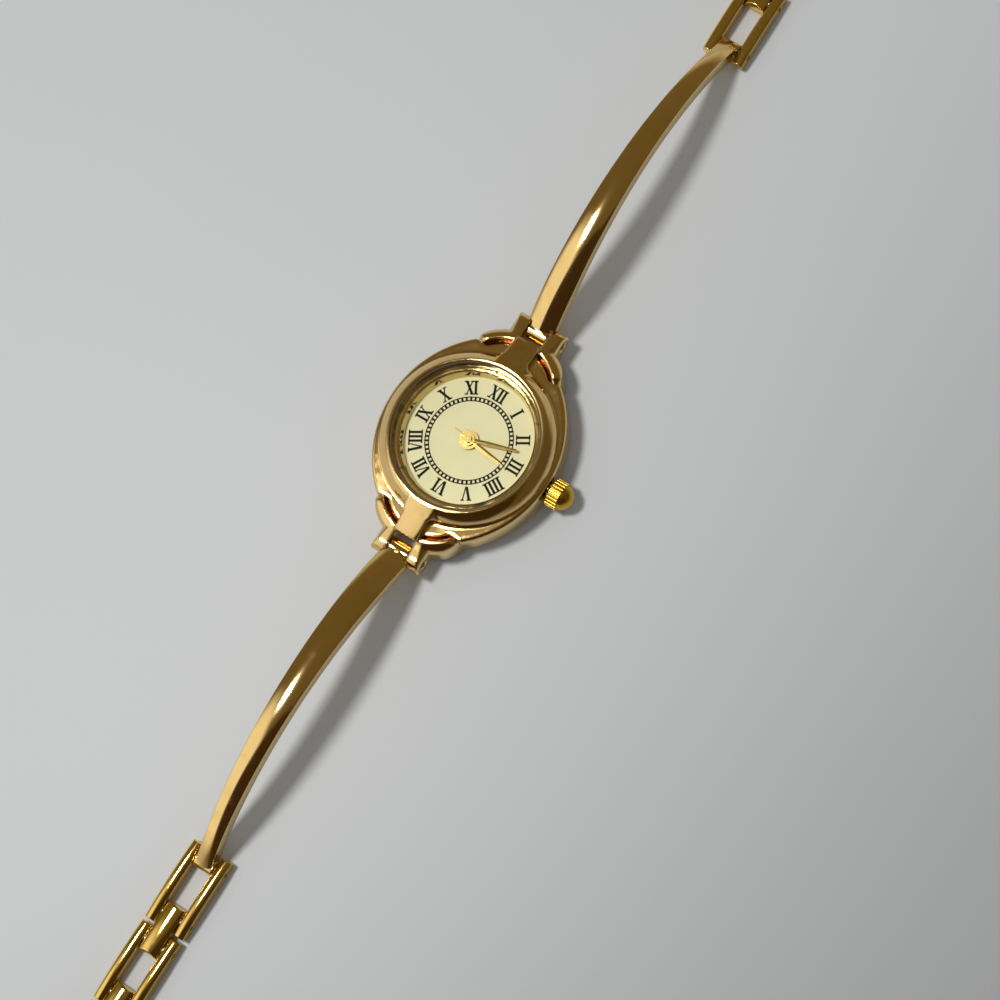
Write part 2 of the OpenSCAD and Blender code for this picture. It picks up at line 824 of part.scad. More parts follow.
module train_bridge() {
  color(BRASS)
    difference() {
      translate([bridge_at[0], bridge_at[1], bridge_z]) cylinder(r = bridge_r, h = bridge_t);
      translate([battery_at[0], battery_at[1], bridge_z - 1]) cylinder(r = battery_r + 0.12, h = 3);
      for (p = [[0, 0], third_at, rotor_at, step_at])
        translate([p[0], p[1], bridge_z - 1]) cylinder(r = pivot_r + pivot_fit, h = 3);
      for (p = PILLARS)
        translate([p[0], p[1], bridge_z - 1]) cylinder(r = 0.2 + seat_fit, h = 3);
    }
}

module bridge_screws() {
  head = 0.2;
  color(STEEL)
    for (p = PILLARS)
      translate([p[0], p[1], bridge_z - head])
        difference() {
          union() {
            cylinder(r = 0.4, h = head);
            cylinder(r = 0.2, h = head + bridge_t + 0.8);
          }
          translate([-0.5, -0.05, -1]) cube([1, 0.1, 1.1]);
        }
}

module battery() {
  color([0.8, 0.81, 0.82])
    translate([battery_at[0], battery_at[1], battery_z]) {
      translate([0, 0, 0.25]) cylinder(r = battery_r, h = battery_t - 0.25);
      cylinder(r = battery_r - 0.35, h = 0.26);
    }
}

// The sprung strap that presses on the battery, hooked over the bridge
module battery_strap() {
  strap_t = 0.12;
  reach = battery_at * 0.1;
  color([0.75, 0.62, 0.35])
    union() {
      translate([battery_at[0], battery_at[1], battery_z - strap_t]) cylinder(r = 1.1, h = strap_t);
      translate([reach[0], reach[1], battery_z - strap_t])
        rotate([0, 0, battery_dir]) translate([0, -0.45, 0]) cube([norm(battery_at) * 0.9, 0.9, strap_t]);
      translate([reach[0], reach[1], battery_z - strap_t])
        rotate([0, 0, battery_dir]) translate([-0.2, -0.45, 0])
          cube([0.35, 0.9, bridge_z - battery_z + strap_t - seat_fit]);
    }
}

board_z = bridge_z;
board_y = plate_move_r - 2.9;
board_w = 8.4;
module circuit_board() {
  color([0.12, 0.32, 0.2])
    translate([0, 0, board_z])
      linear_extrude(0.25)
        intersection() {
          circle(r = plate_move_r - 0.5);
          translate([-board_w / 2, board_y]) square([board_w, plate_move_r - board_y]);
        }
}

module quartz_can() {
  color([0.82, 0.83, 0.85])
    translate([-2.3, board_y + 0.9, board_z + 0.25 + 0.45 + seat_fit])
      rotate([0, 90, 0]) cylinder(r = 0.45, h = 4.6);
}

coil_at = [2.3 - plate_move_r, 0.9];
coil_len = 5.4;
coil_r = 0.68;
coil_z = plate_z - 0.55 - coil_r;
module coil() {
  flange = 0.3;
  color([0.75, 0.4, 0.22])
    translate([coil_at[0], coil_at[1], coil_z])
      rotate([90, 0, 0]) {
        cylinder(r = coil_r, h = coil_len, center = true);
        for (s = [-1, 1])
          translate([0, 0, s * (coil_len - flange) / 2])
            cube([2 * coil_r + 0.1, 2 * coil_r + 0.1, flange], center = true);
      }
}

// The soft-iron sheet from the coil's ends to the rotor's hole
stator_z = coil_z + coil_r + 0.06;
module stator() {
  w = 1.1;
  hole = 0.92;
  color([0.6, 0.62, 0.64])
    translate([0, 0, stator_z])
      linear_extrude(0.2)
        difference() {
          union() {
            translate([coil_at[0] - w / 2, coil_at[1] - coil_len / 2]) square([w, coil_len]);
            translate(rotor_at) circle(r = hole + 0.38);
            translate([coil_at[0] - w / 2, coil_at[1] - coil_len / 2])
              square([rotor_at[0] - coil_at[0] + w / 2, w]);
          }
          translate(rotor_at) circle(r = hole);
        }
}

// An arbor with a pivot at each end, from the bridge to the main plate
module arbor(r) {
  translate([0, 0, bridge_z + 0.05]) cylinder(r = pivot_r, h = plate_z + 0.3 - bridge_z - 0.05, $fn = 24);
  translate([0, 0, bridge_top + 0.06]) cylinder(r = r, h = plate_z - bridge_top - 0.12, $fn = 24);
}

module rotor() {
  color([0.3, 0.31, 0.33])
    translate([rotor_at[0], rotor_at[1], 0]) {
      arbor(0.14);
      translate([0, 0, level_b - 0.02]) toothed(rotor_teeth, rotor_m, wheel_t + 0.04, step_dir + 180);
      translate([0, 0, level_b + wheel_t + 0.08]) cylinder(r = 0.78, h = 0.34);
    }
}

module step_wheel() {
  color(BRASS)
    translate([step_at[0], step_at[1], 0]) {
      arbor(0.14);
      translate([0, 0, level_b]) toothed(step_teeth, rotor_m, wheel_t, step_dir + 180 / step_teeth);
      translate([0, 0, level_a - 0.03]) toothed(step_leaves, step_m, wheel_t + 0.06, step_dir + 180);
    }
}

module seconds_wheel() {
  color(BRASS)
    union() {
      translate([0, 0, bridge_z + 0.05])
        cylinder(r = seconds_r, h = second_hand_z + hand_t - bridge_z - 0.05, $fn = 24);
      translate([0, 0, level_a]) toothed(seconds_teeth, step_m, wheel_t, step_dir + 180 / seconds_teeth);
      translate([0, 0, level_b - 0.05]) toothed(seconds_leaves, seconds_m, wheel_t + 0.1, third_dir);
    }
}

module third_wheel() {
  color(BRASS)
    translate([third_at[0], third_at[1], 0]) {
      arbor(0.14);
      translate([0, 0, level_b])
        toothed(third_teeth, seconds_m, wheel_t, third_dir + 180 + 180 / third_teeth);
      translate([0, 0, level_c - 0.04]) toothed(third_leaves, third_m, wheel_t + 0.08, third_dir + 180);
    }
}

// The wheel that turns once an hour, with its tube and the cannon pinion above the plate
module centre_wheel() {
  color(BRASS)
    difference() {
      union() {
        translate([0, 0, level_c]) toothed(centre_teeth, third_m, wheel_t, third_dir + 180 / centre_teeth);
        translate([0, 0, level_c]) cylinder(r = cannon_r, h = minute_hand_z + hand_t - level_c);
        translate([0, 0, plate_top + 0.06]) toothed(cannon_teeth, cannon_m, 0.2, motion_dir);
      }
      translate([0, 0, level_c - 1]) cylinder(r = seconds_r + tube_fit, h = 6);
    }
}

module minute_wheel() {
  color(BRASS)
    translate([motion_at[0], motion_at[1], 0]) {
      translate([0, 0, plate_z + 0.05]) cylinder(r = pivot_r, h = plate_t + 0.1, $fn = 24);
      translate([0, 0, plate_top + 0.08])
        toothed(minute_teeth, cannon_m, wheel_t, motion_dir + 180 + 180 / minute_teeth);
      translate([0, 0, plate_top + 0.08]) toothed(minute_leaves, hour_m, 0.38, motion_dir + 180);
    }
}

module hour_wheel() {
  wheel_z = plate_top + 0.3;
  color(BRASS)
    difference() {
      union() {
        translate([0, 0, wheel_z]) toothed(hour_teeth, hour_m, wheel_t, motion_dir + 180 / hour_teeth);
        translate([0, 0, wheel_z]) cylinder(r = hour_tube_r, h = hour_hand_z + hand_t - wheel_z);
      }
      translate([0, 0, wheel_z - 1]) cylinder(r = cannon_r + tube_fit, h = 4);
    }
}

// An arm in its own frame: the lug pin at the origin, the link pin at y = arm_chord, arched upwards
module arm_bar() {
  half = arm_chord / 2;
  r = (half * half + arm_rise * arm_rise) / (2 * arm_rise);
  cz = arm_rise - r;
  spread = asin(half / r);
  inner = r - arm_t / 2;
  outer = r + arm_t / 2;
  end_r = chain_z - 0.1;
  lug_tongue = lug_gap - 2 * side_fit;
  difference() {
    union() {
      intersection() {
        // The arched band, domed on its outer side
        translate([0, half, cz])
          rotate([0, -90, 0])
            rotate([0, 0, -spread])
              rotate_extrude(angle = 2 * spread, $fn = 256)
                intersection() {
                  translate([outer - arm_dome_r, 0]) circle(r = arm_dome_r, $fn = 96);
                  translate([inner, -arm_w]) square([arm_dome_r, 2 * arm_w]);
                }
        // Its taper, seen from above
        translate([0, 0, -3])
          linear_extrude(arm_rise + 8)
            polygon([
              [-arm_w / 2, -1.5], [arm_w / 2, -1.5], [arm_w / 2, 6],
              [arm_end_w / 2, arm_chord - 4], [arm_end_w / 2, arm_chord + 2],
              [-arm_end_w / 2, arm_chord + 2], [-arm_end_w / 2, arm_chord - 4], [-arm_w / 2, 6]
            ]);
      }
      cross_pin(barrel_r, lug_tongue);
      translate([0, arm_chord, 0]) cross_pin(end_r, tongue_w);
    }
    // Clearance round the prongs, and the pins' bores
    both_sides()
      translate([lug_tongue / 2, 0, 0])
        rotate([0, 90, 0]) cylinder(r = prong_end_r + 0.22, h = 3);
    cross_pin(lug_pin_r + pin_fit, 10);
    translate([0, arm_chord, 0]) cross_pin(link_pin_r + pin_fit, 10);
  }
}

module arm(side) {
  color(GOLD)
    at_end(side)
      translate([0, lug_pin_y, lug_pin_z])
        rotate([-arm_tilt, 0, 0])
          arm_bar();
}

// A bar along Y from its near pin at the origin; its domed top follows a flat arch from end to end
module domed_bar(pitch, w, h, end, dome_r) {
  deep = 3 * h;
  spread = 1.2 * asin((pitch / 2 + end) / (link_crown_r - deep));
  intersection() {
    translate([-w / 2, 0, 0])
      rotate([90, 0, 90])
        linear_extrude(w)
          intersection() {
            union() {
              for (y = [0, pitch]) translate([y, 0]) circle(r = end);
              translate([0, -h]) square([pitch, 2 * h]);
            }
            translate([-2 * end, -h / 2]) square([pitch + 4 * end, 2 * h]);
          }
    translate([0, pitch / 2, h / 2 - link_crown_r])
      rotate([0, -90, 0])
        rotate([0, 0, -spread])
          rotate_extrude(angle = 2 * spread, $fn = 256)
            union() {
              translate([link_crown_r - dome_r, 0]) circle(r = dome_r);
              translate([link_crown_r - deep, -w]) square([deep - dome_r, 2 * w]);
            }
  }
}

// One side bar of a link, with its two bores
module side_bar(side, i, hand) {
  color(BRIGHT_GOLD)
    at_end(side)
      translate([hand * (link_w - bar_w) / 2, pin_near(i), chain_z])
        difference() {
          domed_bar(link_pitch, bar_w, link_h, bar_end, bar_dome_r);
          for (y = [0, link_pitch])
            translate([0, y, 0]) cross_pin(link_pin_r + seat_fit / 2, 4);
        }
}

module link_pins(side, i) {
  color(STEEL)
    at_end(side)
      for (y = [pin_near(i), pin_far(i)])
        translate([0, y, chain_z]) cross_pin(link_pin_r, link_w - 0.3);
}

// A centre link, from link i's far pin to the next pin
module centre_link(side, i) {
  color(BRIGHT_GOLD)
    at_end(side)
      translate([0, pin_far(i), chain_z])
        difference() {
          domed_bar(centre_pitch, tongue_w, link_h, bar_end - 0.25, centre_dome_r);
          for (y = [0, centre_pitch])
            translate([0, y, 0]) cross_pin(link_pin_r + pin_fit, 4);
        }
}

clasp_w = link_w - 0.2;
ear_w = 0.9;
// The clasp's base: a sheet with two ears round its pin and a hook that is turned up and back at its end
module clasp_plate() {
  ear_r = chain_z;
  hook_l = 2.2;
  hook_h = 1.05;
  color(BRIGHT_GOLD)
    translate([0, clasp_pin_y, 0])
      difference() {
        union() {
          translate([-clasp_w / 2, 1.9, 0]) cube([clasp_w, clasp_len - 1.9, sheet_t]);
          both_sides()
            translate([tongue_w / 2 + side_fit, 0, 0]) {
              translate([ear_w / 2, 0, ear_r]) cross_pin(ear_r, ear_w);
              cube([ear_w, 2.1, sheet_t]);
            }
          // The hook
          translate([-tongue_w / 2, clasp_len - sheet_t, 0]) cube([tongue_w, sheet_t, hook_h]);
          translate([-tongue_w / 2, clasp_len - hook_l, hook_h - sheet_t]) cube([tongue_w, hook_l, sheet_t]);
        }
        translate([0, 0, ear_r]) cross_pin(link_pin_r + seat_fit / 2, 12);
      }
}

module clasp_pin() {
  color(STEEL)
    translate([0, clasp_pin_y, chain_z])
      cross_pin(link_pin_r, tongue_w + 2 * side_fit + 2 * ear_w - 0.2);
}

// The cover folds down over the hook; its eyes turn on a pin through the ears' outer side
cover_y = clasp_pin_y + 3.2;
cover_z = sheet_t + 0.75;
module clasp_cover() {
  dome_r = 6;
  floor_z = sheet_t + 0.12;
  top = cover_z + 0.75 + sheet_t;
  length = clasp_len - 3.2 + 0.9;
  color(BRIGHT_GOLD)
    translate([0, cover_y, 0])
      difference() {
        union() {
          difference() {
            intersection() {
              translate([-clasp_w / 2, 0, floor_z]) cube([clasp_w, length, top - floor_z]);
              translate([0, -2, top - dome_r])
                rotate([-90, 0, 0]) cylinder(r = dome_r, h = length + 4, $fn = 128);
            }
            // Hollow inside, open below
            intersection() {
              translate([-clasp_w / 2 + sheet_t, -3, -1])
                cube([clasp_w - 2 * sheet_t, length + 3 - sheet_t, top + 1]);
              translate([0, -4, top - dome_r])
                rotate([-90, 0, 0]) cylinder(r = dome_r - sheet_t, h = length + 8, $fn = 128);
            }
          }
          // The eyes
          both_sides()
            translate([(clasp_w - sheet_t) / 2, 0, cover_z]) cross_pin(cover_z - floor_z, sheet_t);
        }
        translate([0, 0, cover_z]) cross_pin(0.3 + pin_fit, 12);
      }
}

// The cover's pin, with the post that carries it on the base
module cover_pin() {
  inside = clasp_w - 2 * sheet_t;
  color(STEEL)
    translate([0, cover_y, 0])
      union() {
        translate([0, 0, cover_z]) cross_pin(0.3, clasp_w - 0.2);
        translate([-inside / 2 + side_fit, -0.3, sheet_t])
          cube([inside - 2 * side_fit, 0.6, cover_z - sheet_t]);
      }
}

case_body();
case_back();
back_gasket();
lug_pins();
crystal();
crystal_gasket();
dial_ring();
dial();
hour_hand();
minute_hand();
second_hand();
crown();
crown_gasket();
stem_tube();
stem();
setting_pinion();
setting_lever();
movement_holder();
main_plate();
train_bridge();
bridge_screws();
battery();
battery_strap();
circuit_board();
quartz_can();
coil();
stator();
rotor();
step_wheel();
seconds_wheel();
third_wheel();
centre_wheel();
minute_wheel();
hour_wheel();
arm("12");  // arm_12
arm("6");  // arm_6
side_bar("12", 0, -1);  // link_12a_left
side_bar("12", 0, 1);  // link_12a_right
link_pins("12", 0);  // link_12a_pins
side_bar("12", 1, -1);  // link_12b_left
side_bar("12", 1, 1);  // link_12b_right
link_pins("12", 1);  // link_12b_pins
side_bar("6", 0, -1);  // link_6a_left
side_bar("6", 0, 1);  // link_6a_right
link_pins("6", 0);  // link_6a_pins
side_bar("6", 1, -1);  // link_6b_left
side_bar("6", 1, 1);  // link_6b_right
link_pins("6", 1);  // link_6b_pins
side_bar("6", 2, -1);  // link_6c_left
side_bar("6", 2, 1);  // link_6c_right
link_pins("6", 2);  // link_6c_pins
centre_link("12", 0);  // centre_12ab
centre_link("12", 1);  // centre_12clasp
centre_link("6", 0);  // centre_6ab
centre_link("6", 1);  // centre_6bc
clasp_plate();
clasp_cover();
clasp_pin();
cover_pin();
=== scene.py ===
# Looks of a small bangle watch: polished gold case, arms and links, cream dial, printed numerals
import math

import bmesh
import bpy
from mathutils import Matrix, Vector


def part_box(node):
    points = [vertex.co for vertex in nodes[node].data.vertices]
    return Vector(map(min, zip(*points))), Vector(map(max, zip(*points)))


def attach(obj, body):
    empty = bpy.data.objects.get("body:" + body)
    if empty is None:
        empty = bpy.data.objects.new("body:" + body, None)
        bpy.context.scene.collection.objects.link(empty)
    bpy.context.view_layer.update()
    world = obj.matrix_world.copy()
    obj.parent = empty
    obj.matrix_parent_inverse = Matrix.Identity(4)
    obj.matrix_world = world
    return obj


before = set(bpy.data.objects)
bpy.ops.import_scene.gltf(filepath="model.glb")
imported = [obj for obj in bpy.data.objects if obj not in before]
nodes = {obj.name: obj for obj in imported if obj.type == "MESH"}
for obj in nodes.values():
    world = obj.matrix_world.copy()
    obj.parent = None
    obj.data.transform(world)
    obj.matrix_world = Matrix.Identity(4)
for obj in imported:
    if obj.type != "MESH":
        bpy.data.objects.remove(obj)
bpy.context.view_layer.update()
scene = bpy.context.scene
scene.view_settings.view_transform = "Standard"
MM = 0.001

# The camera, at the photograph's place: its lens in pixels of a square frame, then its three directions
LENS_PX = 2426.8
FRAME_PX = 1000
SENSOR_MM = 36
NEAREST = 0.01
FARTHEST = 20
CAMERA_AT = Vector((90.73, -37.49, 290.43)) * MM
RIGHT = Vector((0.82606, 0.53463, -0.17831))
DOWN = Vector((0.49061, -0.83787, -0.23933))
FORWARD = Vector((-0.27735, 0.11022, -0.95442))


def place_camera():
    data = bpy.data.cameras.new("camera")
    data.sensor_width = SENSOR_MM
    data.lens = LENS_PX / FRAME_PX * SENSOR_MM
    data.clip_start = NEAREST
    data.clip_end = FARTHEST
    camera = bpy.data.objects.new("camera", data)
    scene.collection.objects.link(camera)
    turn = Matrix((RIGHT, -DOWN, -FORWARD)).transposed().to_4x4()
    camera.matrix_world = Matrix.Translation(CAMERA_AT) @ turn
    scene.camera = camera


place_camera()


# Finishes

# The sockets of a mix of two colours go by number, because other kinds of mix share their names
MIX_MASK = 0
MIX_LOW = 6
MIX_HIGH = 7
MIX_OUT = 2
NOISE_ROUGHNESS = 0.55
EDGE_SAMPLES = 8


def node(tree, kind, settings=None, sockets=None):
    """A shader node: its settings first, then the values or links of its sockets"""
    made = tree.nodes.new(kind)
    for key, value in (settings or {}).items():
        if key == "stops":
            ramp = made.color_ramp
            while len(ramp.elements) < len(value):
                ramp.elements.new(0.5)
            for element, (at, colour) in zip(ramp.elements, value):
                element.position = at
                element.color = colour
        else:
            setattr(made, key, value)
    for key, value in (sockets or {}).items():
        if isinstance(value, Flow):
            tree.links.new(value.socket, made.inputs[key])
        else:
            made.inputs[key].default_value = value
    return made


class Flow:
    """A shader socket that takes part in sums and products"""

    def __init__(self, tree, socket):
        self.tree = tree
        self.socket = socket

    def reckon(self, operation, first, second):
        made = node(self.tree, "ShaderNodeMath", {"operation": operation}, {0: first, 1: second})
        return Flow(self.tree, made.outputs[0])

    def __add__(self, other):
        return self.reckon("ADD", self, other)

    __radd__ = __add__

    def __mul__(self, other):
        return self.reckon("MULTIPLY", self, other)

    __rmul__ = __mul__

    def __sub__(self, other):
        return self.reckon("SUBTRACT", self, other)

    def __rsub__(self, other):
        return self.reckon("SUBTRACT", other, self)

    def __abs__(self):
        return self.reckon("ABSOLUTE", self, 0)

    def over(self, low, high):
        """0 below low, 1 above high, and a smooth step between"""
        made = node(self.tree, "ShaderNodeMapRange", {"interpolation_type": "SMOOTHSTEP"},
                    {"Value": self, "From Min": low, "From Max": high})
        return Flow(self.tree, made.outputs["Result"])


def mix_colours(tree, mask, low, high):
    """The colour low where the mask is 0, and high where it is 1"""
    made = node(tree, "ShaderNodeMix", {"data_type": "RGBA"},
                {MIX_MASK: mask, MIX_LOW: low, MIX_HIGH: high})
    return Flow(tree, made.outputs[MIX_OUT])


def parts_of(tree, place):
    """The x, y and z of a place"""
    apart = node(tree, "ShaderNodeSeparateXYZ", None, {0: place})
    return [Flow(tree, apart.outputs[axis]) for axis in "XYZ"]


class Finish:
    """A material on the object's own coordinates"""

    def __init__(self, name, colour, metallic, roughness):
        self.material = bpy.data.materials.new(name)
        self.material.use_nodes = True
        self.tree = self.material.node_tree
        self.shader = self.tree.nodes["Principled BSDF"]
        self.set("Base Color", (*colour, 1))
        self.set("Metallic", metallic)
        self.set("Roughness", roughness)
        self.material.diffuse_color = (*colour, 1)
        self.place = self.flow("ShaderNodeTexCoord", "Object")

    def set(self, socket, value):
        if isinstance(value, Flow):
            self.tree.links.new(value.socket, self.shader.inputs[socket])
        else:
            self.shader.inputs[socket].default_value = value

    def flow(self, kind, output, settings=None, sockets=None):
        made = node(self.tree, kind, settings, sockets)
        return Flow(self.tree, made.outputs[output])

    def noise(self, per_mm, detail, stretch=(1, 1, 1)):
        """Noise with so many grains to the millimetre"""
        at = self.flow("ShaderNodeMapping", "Vector", None, {"Vector": self.place, "Scale": stretch})
        return self.flow("ShaderNodeTexNoise", "Fac", None, {
            "Vector": at, "Scale": per_mm / MM, "Detail": detail, "Roughness": NOISE_ROUGHNESS})

    def blend(self, mask, low, high):
        return mix_colours(self.tree, mask, (*low, 1), (*high, 1))

    def relief(self, height, depth_mm, strength, under=None):
        """A normal for this relief, over another normal if one is given"""
        sockets = {"Height": height, "Distance": depth_mm * MM, "Strength": strength}
        if under:
            sockets["Normal"] = under
        return self.flow("ShaderNodeBump", "Normal", None, sockets)

    def soft_edge(self, radius_mm):
        """A normal that rounds sharp edges off, as polishing does"""
        return self.flow("ShaderNodeBevel", "Normal", {"samples": EDGE_SAMPLES},
                         {"Radius": radius_mm * MM})


def polish(name, colour, deep, edge_mm, roughness):
    """Polished plating with faint waves and smudges: gives the finish, and the colour to set on it"""
    made = Finish(name, colour, metallic=1.0, roughness=roughness)
    waves = made.noise(per_mm=0.22, detail=2)
    smudge = made.noise(per_mm=0.5, detail=4)
    made.set("Roughness", roughness + 0.07 * smudge.over(low=0.45, high=0.8))
    under = made.soft_edge(edge_mm) if edge_mm else None
    made.set("Normal", made.relief(waves, depth_mm=0.04, strength=0.4, under=under))
    return made, made.blend(smudge.over(low=0.4, high=0.75), colour, deep)


def plated(name, colour, deep, edge_mm, roughness):
    made, plating = polish(name, colour, deep, edge_mm, roughness)
    made.set("Base Color", plating)
    return made.material


# The almond hollows beside each neck: their middle, their half length and half width, the axis that they
# lie along, and the height below which painted shade darkens them
HOLLOW_AT = (3.6 * MM, 12.7 * MM)
HOLLOW_HALF = (2.7 * MM, 1.0 * MM)
HOLLOW_AXIS = (0.857, -0.514)
HOLLOW_TOP = 4.8 * MM
HOLLOW_FADE = 0.3 * MM
HOLLOW_PAINTED_SHADE = (0.42, 0.19, 0.06, 1)
CASE_PALE = (0.86, 0.62, 0.27)
CASE_DEEP = (0.80, 0.56, 0.23)


def cast_case():
    """The case's plating, with red-brown shade painted down in its four hollows"""
    made, plating = polish("case_gold", CASE_PALE, CASE_DEEP, edge_mm=0.6, roughness=0.1)
    x, y, z = parts_of(made.tree, made.place)
    across = abs(x) - HOLLOW_AT[0]
    along = abs(y) - HOLLOW_AT[1]
    u = (across * HOLLOW_AXIS[0] + along * HOLLOW_AXIS[1]) * (1 / HOLLOW_HALF[0])
    v = (along * HOLLOW_AXIS[0] - across * HOLLOW_AXIS[1]) * (1 / HOLLOW_HALF[1])
    inside = 1 - (u * u + v * v).over(low=0.8, high=1.1)
    deep = 1 - z.over(HOLLOW_TOP - HOLLOW_FADE, HOLLOW_TOP)
    # Painted shade: the colour turns dark red-brown inside each hollow, below its top
    made.set("Base Color", mix_colours(made.tree, inside * deep, plating, HOLLOW_PAINTED_SHADE))
    return made.material


case_gold = cast_case()
arm_gold = plated("arm_gold", (0.86, 0.62, 0.26), (0.80, 0.56, 0.22), edge_mm=0.12, roughness=0.10)
link_gold = plated("link_gold", (0.90, 0.64, 0.19), (0.82, 0.56, 0.14), edge_mm=0.12, roughness=0.10)
crown_gold = plated("crown_gold", (0.66, 0.41, 0.055), (0.52, 0.30, 0.035),
                    edge_mm=0.05, roughness=0.28)
hand_gold = plated("hand_gold", (0.94, 0.70, 0.26), (0.88, 0.62, 0.20), edge_mm=0.0, roughness=0.2)
ring_gold = plated("ring_gold", (0.84, 0.70, 0.38), (0.78, 0.62, 0.32), edge_mm=0.0, roughness=0.12)


def brushed_steel(name, colour):
    """Fine brushed steel, duller in clouds"""
    made = Finish(name, colour, metallic=1.0, roughness=0.32)
    grain = made.noise(per_mm=6, detail=3, stretch=(1, 0.05, 0.05))
    dull = made.noise(per_mm=0.8, detail=3)
    shaded = [0.86 * c for c in colour]
    made.set("Roughness", 0.26 + 0.12 * grain + 0.08 * dull)
    made.set("Base Color", made.blend(dull.over(low=0.4, high=0.7), shaded, colour))
    made.set("Normal", made.relief(grain, depth_mm=0.006, strength=0.5))
    return made.material


steel = brushed_steel("steel", (0.62, 0.62, 0.63))
can_steel = brushed_steel("can_steel", (0.70, 0.71, 0.72))


def machined_brass():
    """Brass with turning rings from the lathe"""
    stained = (0.62, 0.45, 0.19)
    clean = (0.74, 0.57, 0.27)
    made = Finish("movement_brass", (0.72, 0.55, 0.25), metallic=1.0, roughness=0.3)
    rings = made.flow("ShaderNodeTexWave", "Fac",
                      {"wave_type": "RINGS", "rings_direction": "Z", "wave_profile": "SIN"},
                      {"Vector": made.place, "Scale": 1.4 / MM, "Distortion": 0.6, "Detail": 1.0})
    stain = made.noise(per_mm=0.5, detail=4)
    made.set("Base Color", made.blend(stain.over(low=0.4, high=0.7), stained, clean))
    made.set("Roughness", 0.24 + 0.1 * rings + 0.08 * stain)
    made.set("Normal", made.relief(rings, depth_mm=0.008, strength=0.4))
    return made.material


movement_brass = machined_brass()


def clear_crystal():
    """Thin clear glass: it lets the dial through and mirrors a little"""
    mirrored_share = 0.7
    material = bpy.data.materials.new("crystal_glass")
    material.use_nodes = True
    tree = material.node_tree
    tree.nodes.clear()
    fresnel = Flow(tree, node(tree, "ShaderNodeFresnel", None, {"IOR": 1.46}).outputs[0])
    through = node(tree, "ShaderNodeBsdfTransparent", None, {"Color": (0.97, 0.98, 0.97, 1)})
    mirror = node(tree, "ShaderNodeBsdfGlossy", None, {"Color": (1, 1, 1, 1), "Roughness": 0.03})
    shaders = [Flow(tree, shader.outputs[0]) for shader in (through, mirror)]
    mix = node(tree, "ShaderNodeMixShader", None,
               {0: mirrored_share * fresnel, 1: shaders[0], 2: shaders[1]})
    node(tree, "ShaderNodeOutputMaterial", None, {"Surface": Flow(tree, mix.outputs[0])})
    material.diffuse_color = (0.92, 0.95, 0.96, 0.25)
    return material


crystal_glass = clear_crystal()


def cream_paint():
    """Satin cream dial paint over fine grained metal"""
    shaded = (0.90, 0.82, 0.49)
    pale = (0.95, 0.87, 0.55)
    made = Finish("dial_paint", (0.92, 0.84, 0.52), metallic=0.22, roughness=0.5)
    grain = made.noise(per_mm=9, detail=3)
    cloud = made.noise(per_mm=0.16, detail=2)
    made.set("Base Color", made.blend(cloud.over(low=0.3, high=0.75), shaded, pale))
    made.set("Roughness", 0.45 + 0.1 * grain)
    made.set("Normal", made.relief(grain, depth_mm=0.004, strength=0.4))
    made.set("Specular IOR Level", 0.4)
    return made.material


dial_paint = cream_paint()


def printed_ink():
    """Black ink printed thick on the dial, a little uneven"""
    black = (0.008, 0.007, 0.006)
    worn = (0.022, 0.018, 0.015)
    made = Finish("dial_ink", (0.010, 0.009, 0.008), metallic=0.0, roughness=0.6)
    grain = made.noise(per_mm=12, detail=2)
    made.set("Base Color", made.blend(grain, black, worn))
    made.set("Roughness", 0.55 + 0.15 * grain)
    made.set("Normal", made.relief(grain, depth_mm=0.003, strength=0.5))
    made.set("Specular IOR Level", 0.15)
    return made.material


dial_ink = printed_ink()


def moulded(name, colour, roughness):
    """Moulded plastic or rubber with a fine grain"""
    made = Finish(name, colour, metallic=0.0, roughness=roughness)
    grain = made.noise(per_mm=7, detail=3)
    shaded = [0.82 * c for c in colour]
    made.set("Base Color", made.blend(grain.over(low=0.3, high=0.8), shaded, colour))
    made.set("Roughness", roughness + 0.15 * grain)
    made.set("Normal", made.relief(grain, depth_mm=0.01, strength=0.5))
    return made.material


gasket_rubber = moulded("gasket_rubber", (0.03, 0.03, 0.032), 0.55)
gasket_plastic = moulded("gasket_plastic", (0.10, 0.065, 0.03), 0.55)
holder_plastic = moulded("holder_plastic", (0.78, 0.78, 0.74), 0.45)
magnet = moulded("magnet", (0.10, 0.10, 0.11), 0.4)


def circuit_green():
    """Green lacquered board with copper tracks showing through"""
    bare_board = (0.03, 0.11, 0.055)
    over_track = (0.10, 0.20, 0.07)
    made = Finish("board", (0.03, 0.12, 0.06), metallic=0.0, roughness=0.35)
    tracks = made.flow("ShaderNodeTexBrick", "Fac", {"offset": 0.5}, {
        "Vector": made.place, "Scale": 1.0 / MM,
        "Mortar Size": 0.06, "Brick Width": 0.9, "Row Height": 0.45})
    made.set("Base Color", made.blend(tracks, bare_board, over_track))
    made.set("Normal", made.relief(tracks, depth_mm=0.02, strength=0.5))
    return made.material


board = circuit_green()


def wound_wire():
    """Lacquered copper wire, turn beside turn along the coil, with shade painted darker in the grooves
    between turns
    """
    painted_shade_between_turns = (0.30, 0.10, 0.03)
    on_turns = (0.68, 0.29, 0.12)
    made = Finish("winding", (0.60, 0.24, 0.09), metallic=1.0, roughness=0.3)
    turns = made.flow("ShaderNodeTexWave", "Fac",
                      {"wave_type": "BANDS", "bands_direction": "Y", "wave_profile": "SIN"},
                      {"Vector": made.place, "Scale": 3.0 / MM})
    # Painted shade: darker colour in the grooves between the turns
    made.set("Base Color", made.blend(turns, painted_shade_between_turns, on_turns))
    made.set("Roughness", 0.25 + 0.15 * turns)
    made.set("Normal", made.relief(turns, depth_mm=0.03, strength=0.8))
    return made.material


winding = wound_wire()

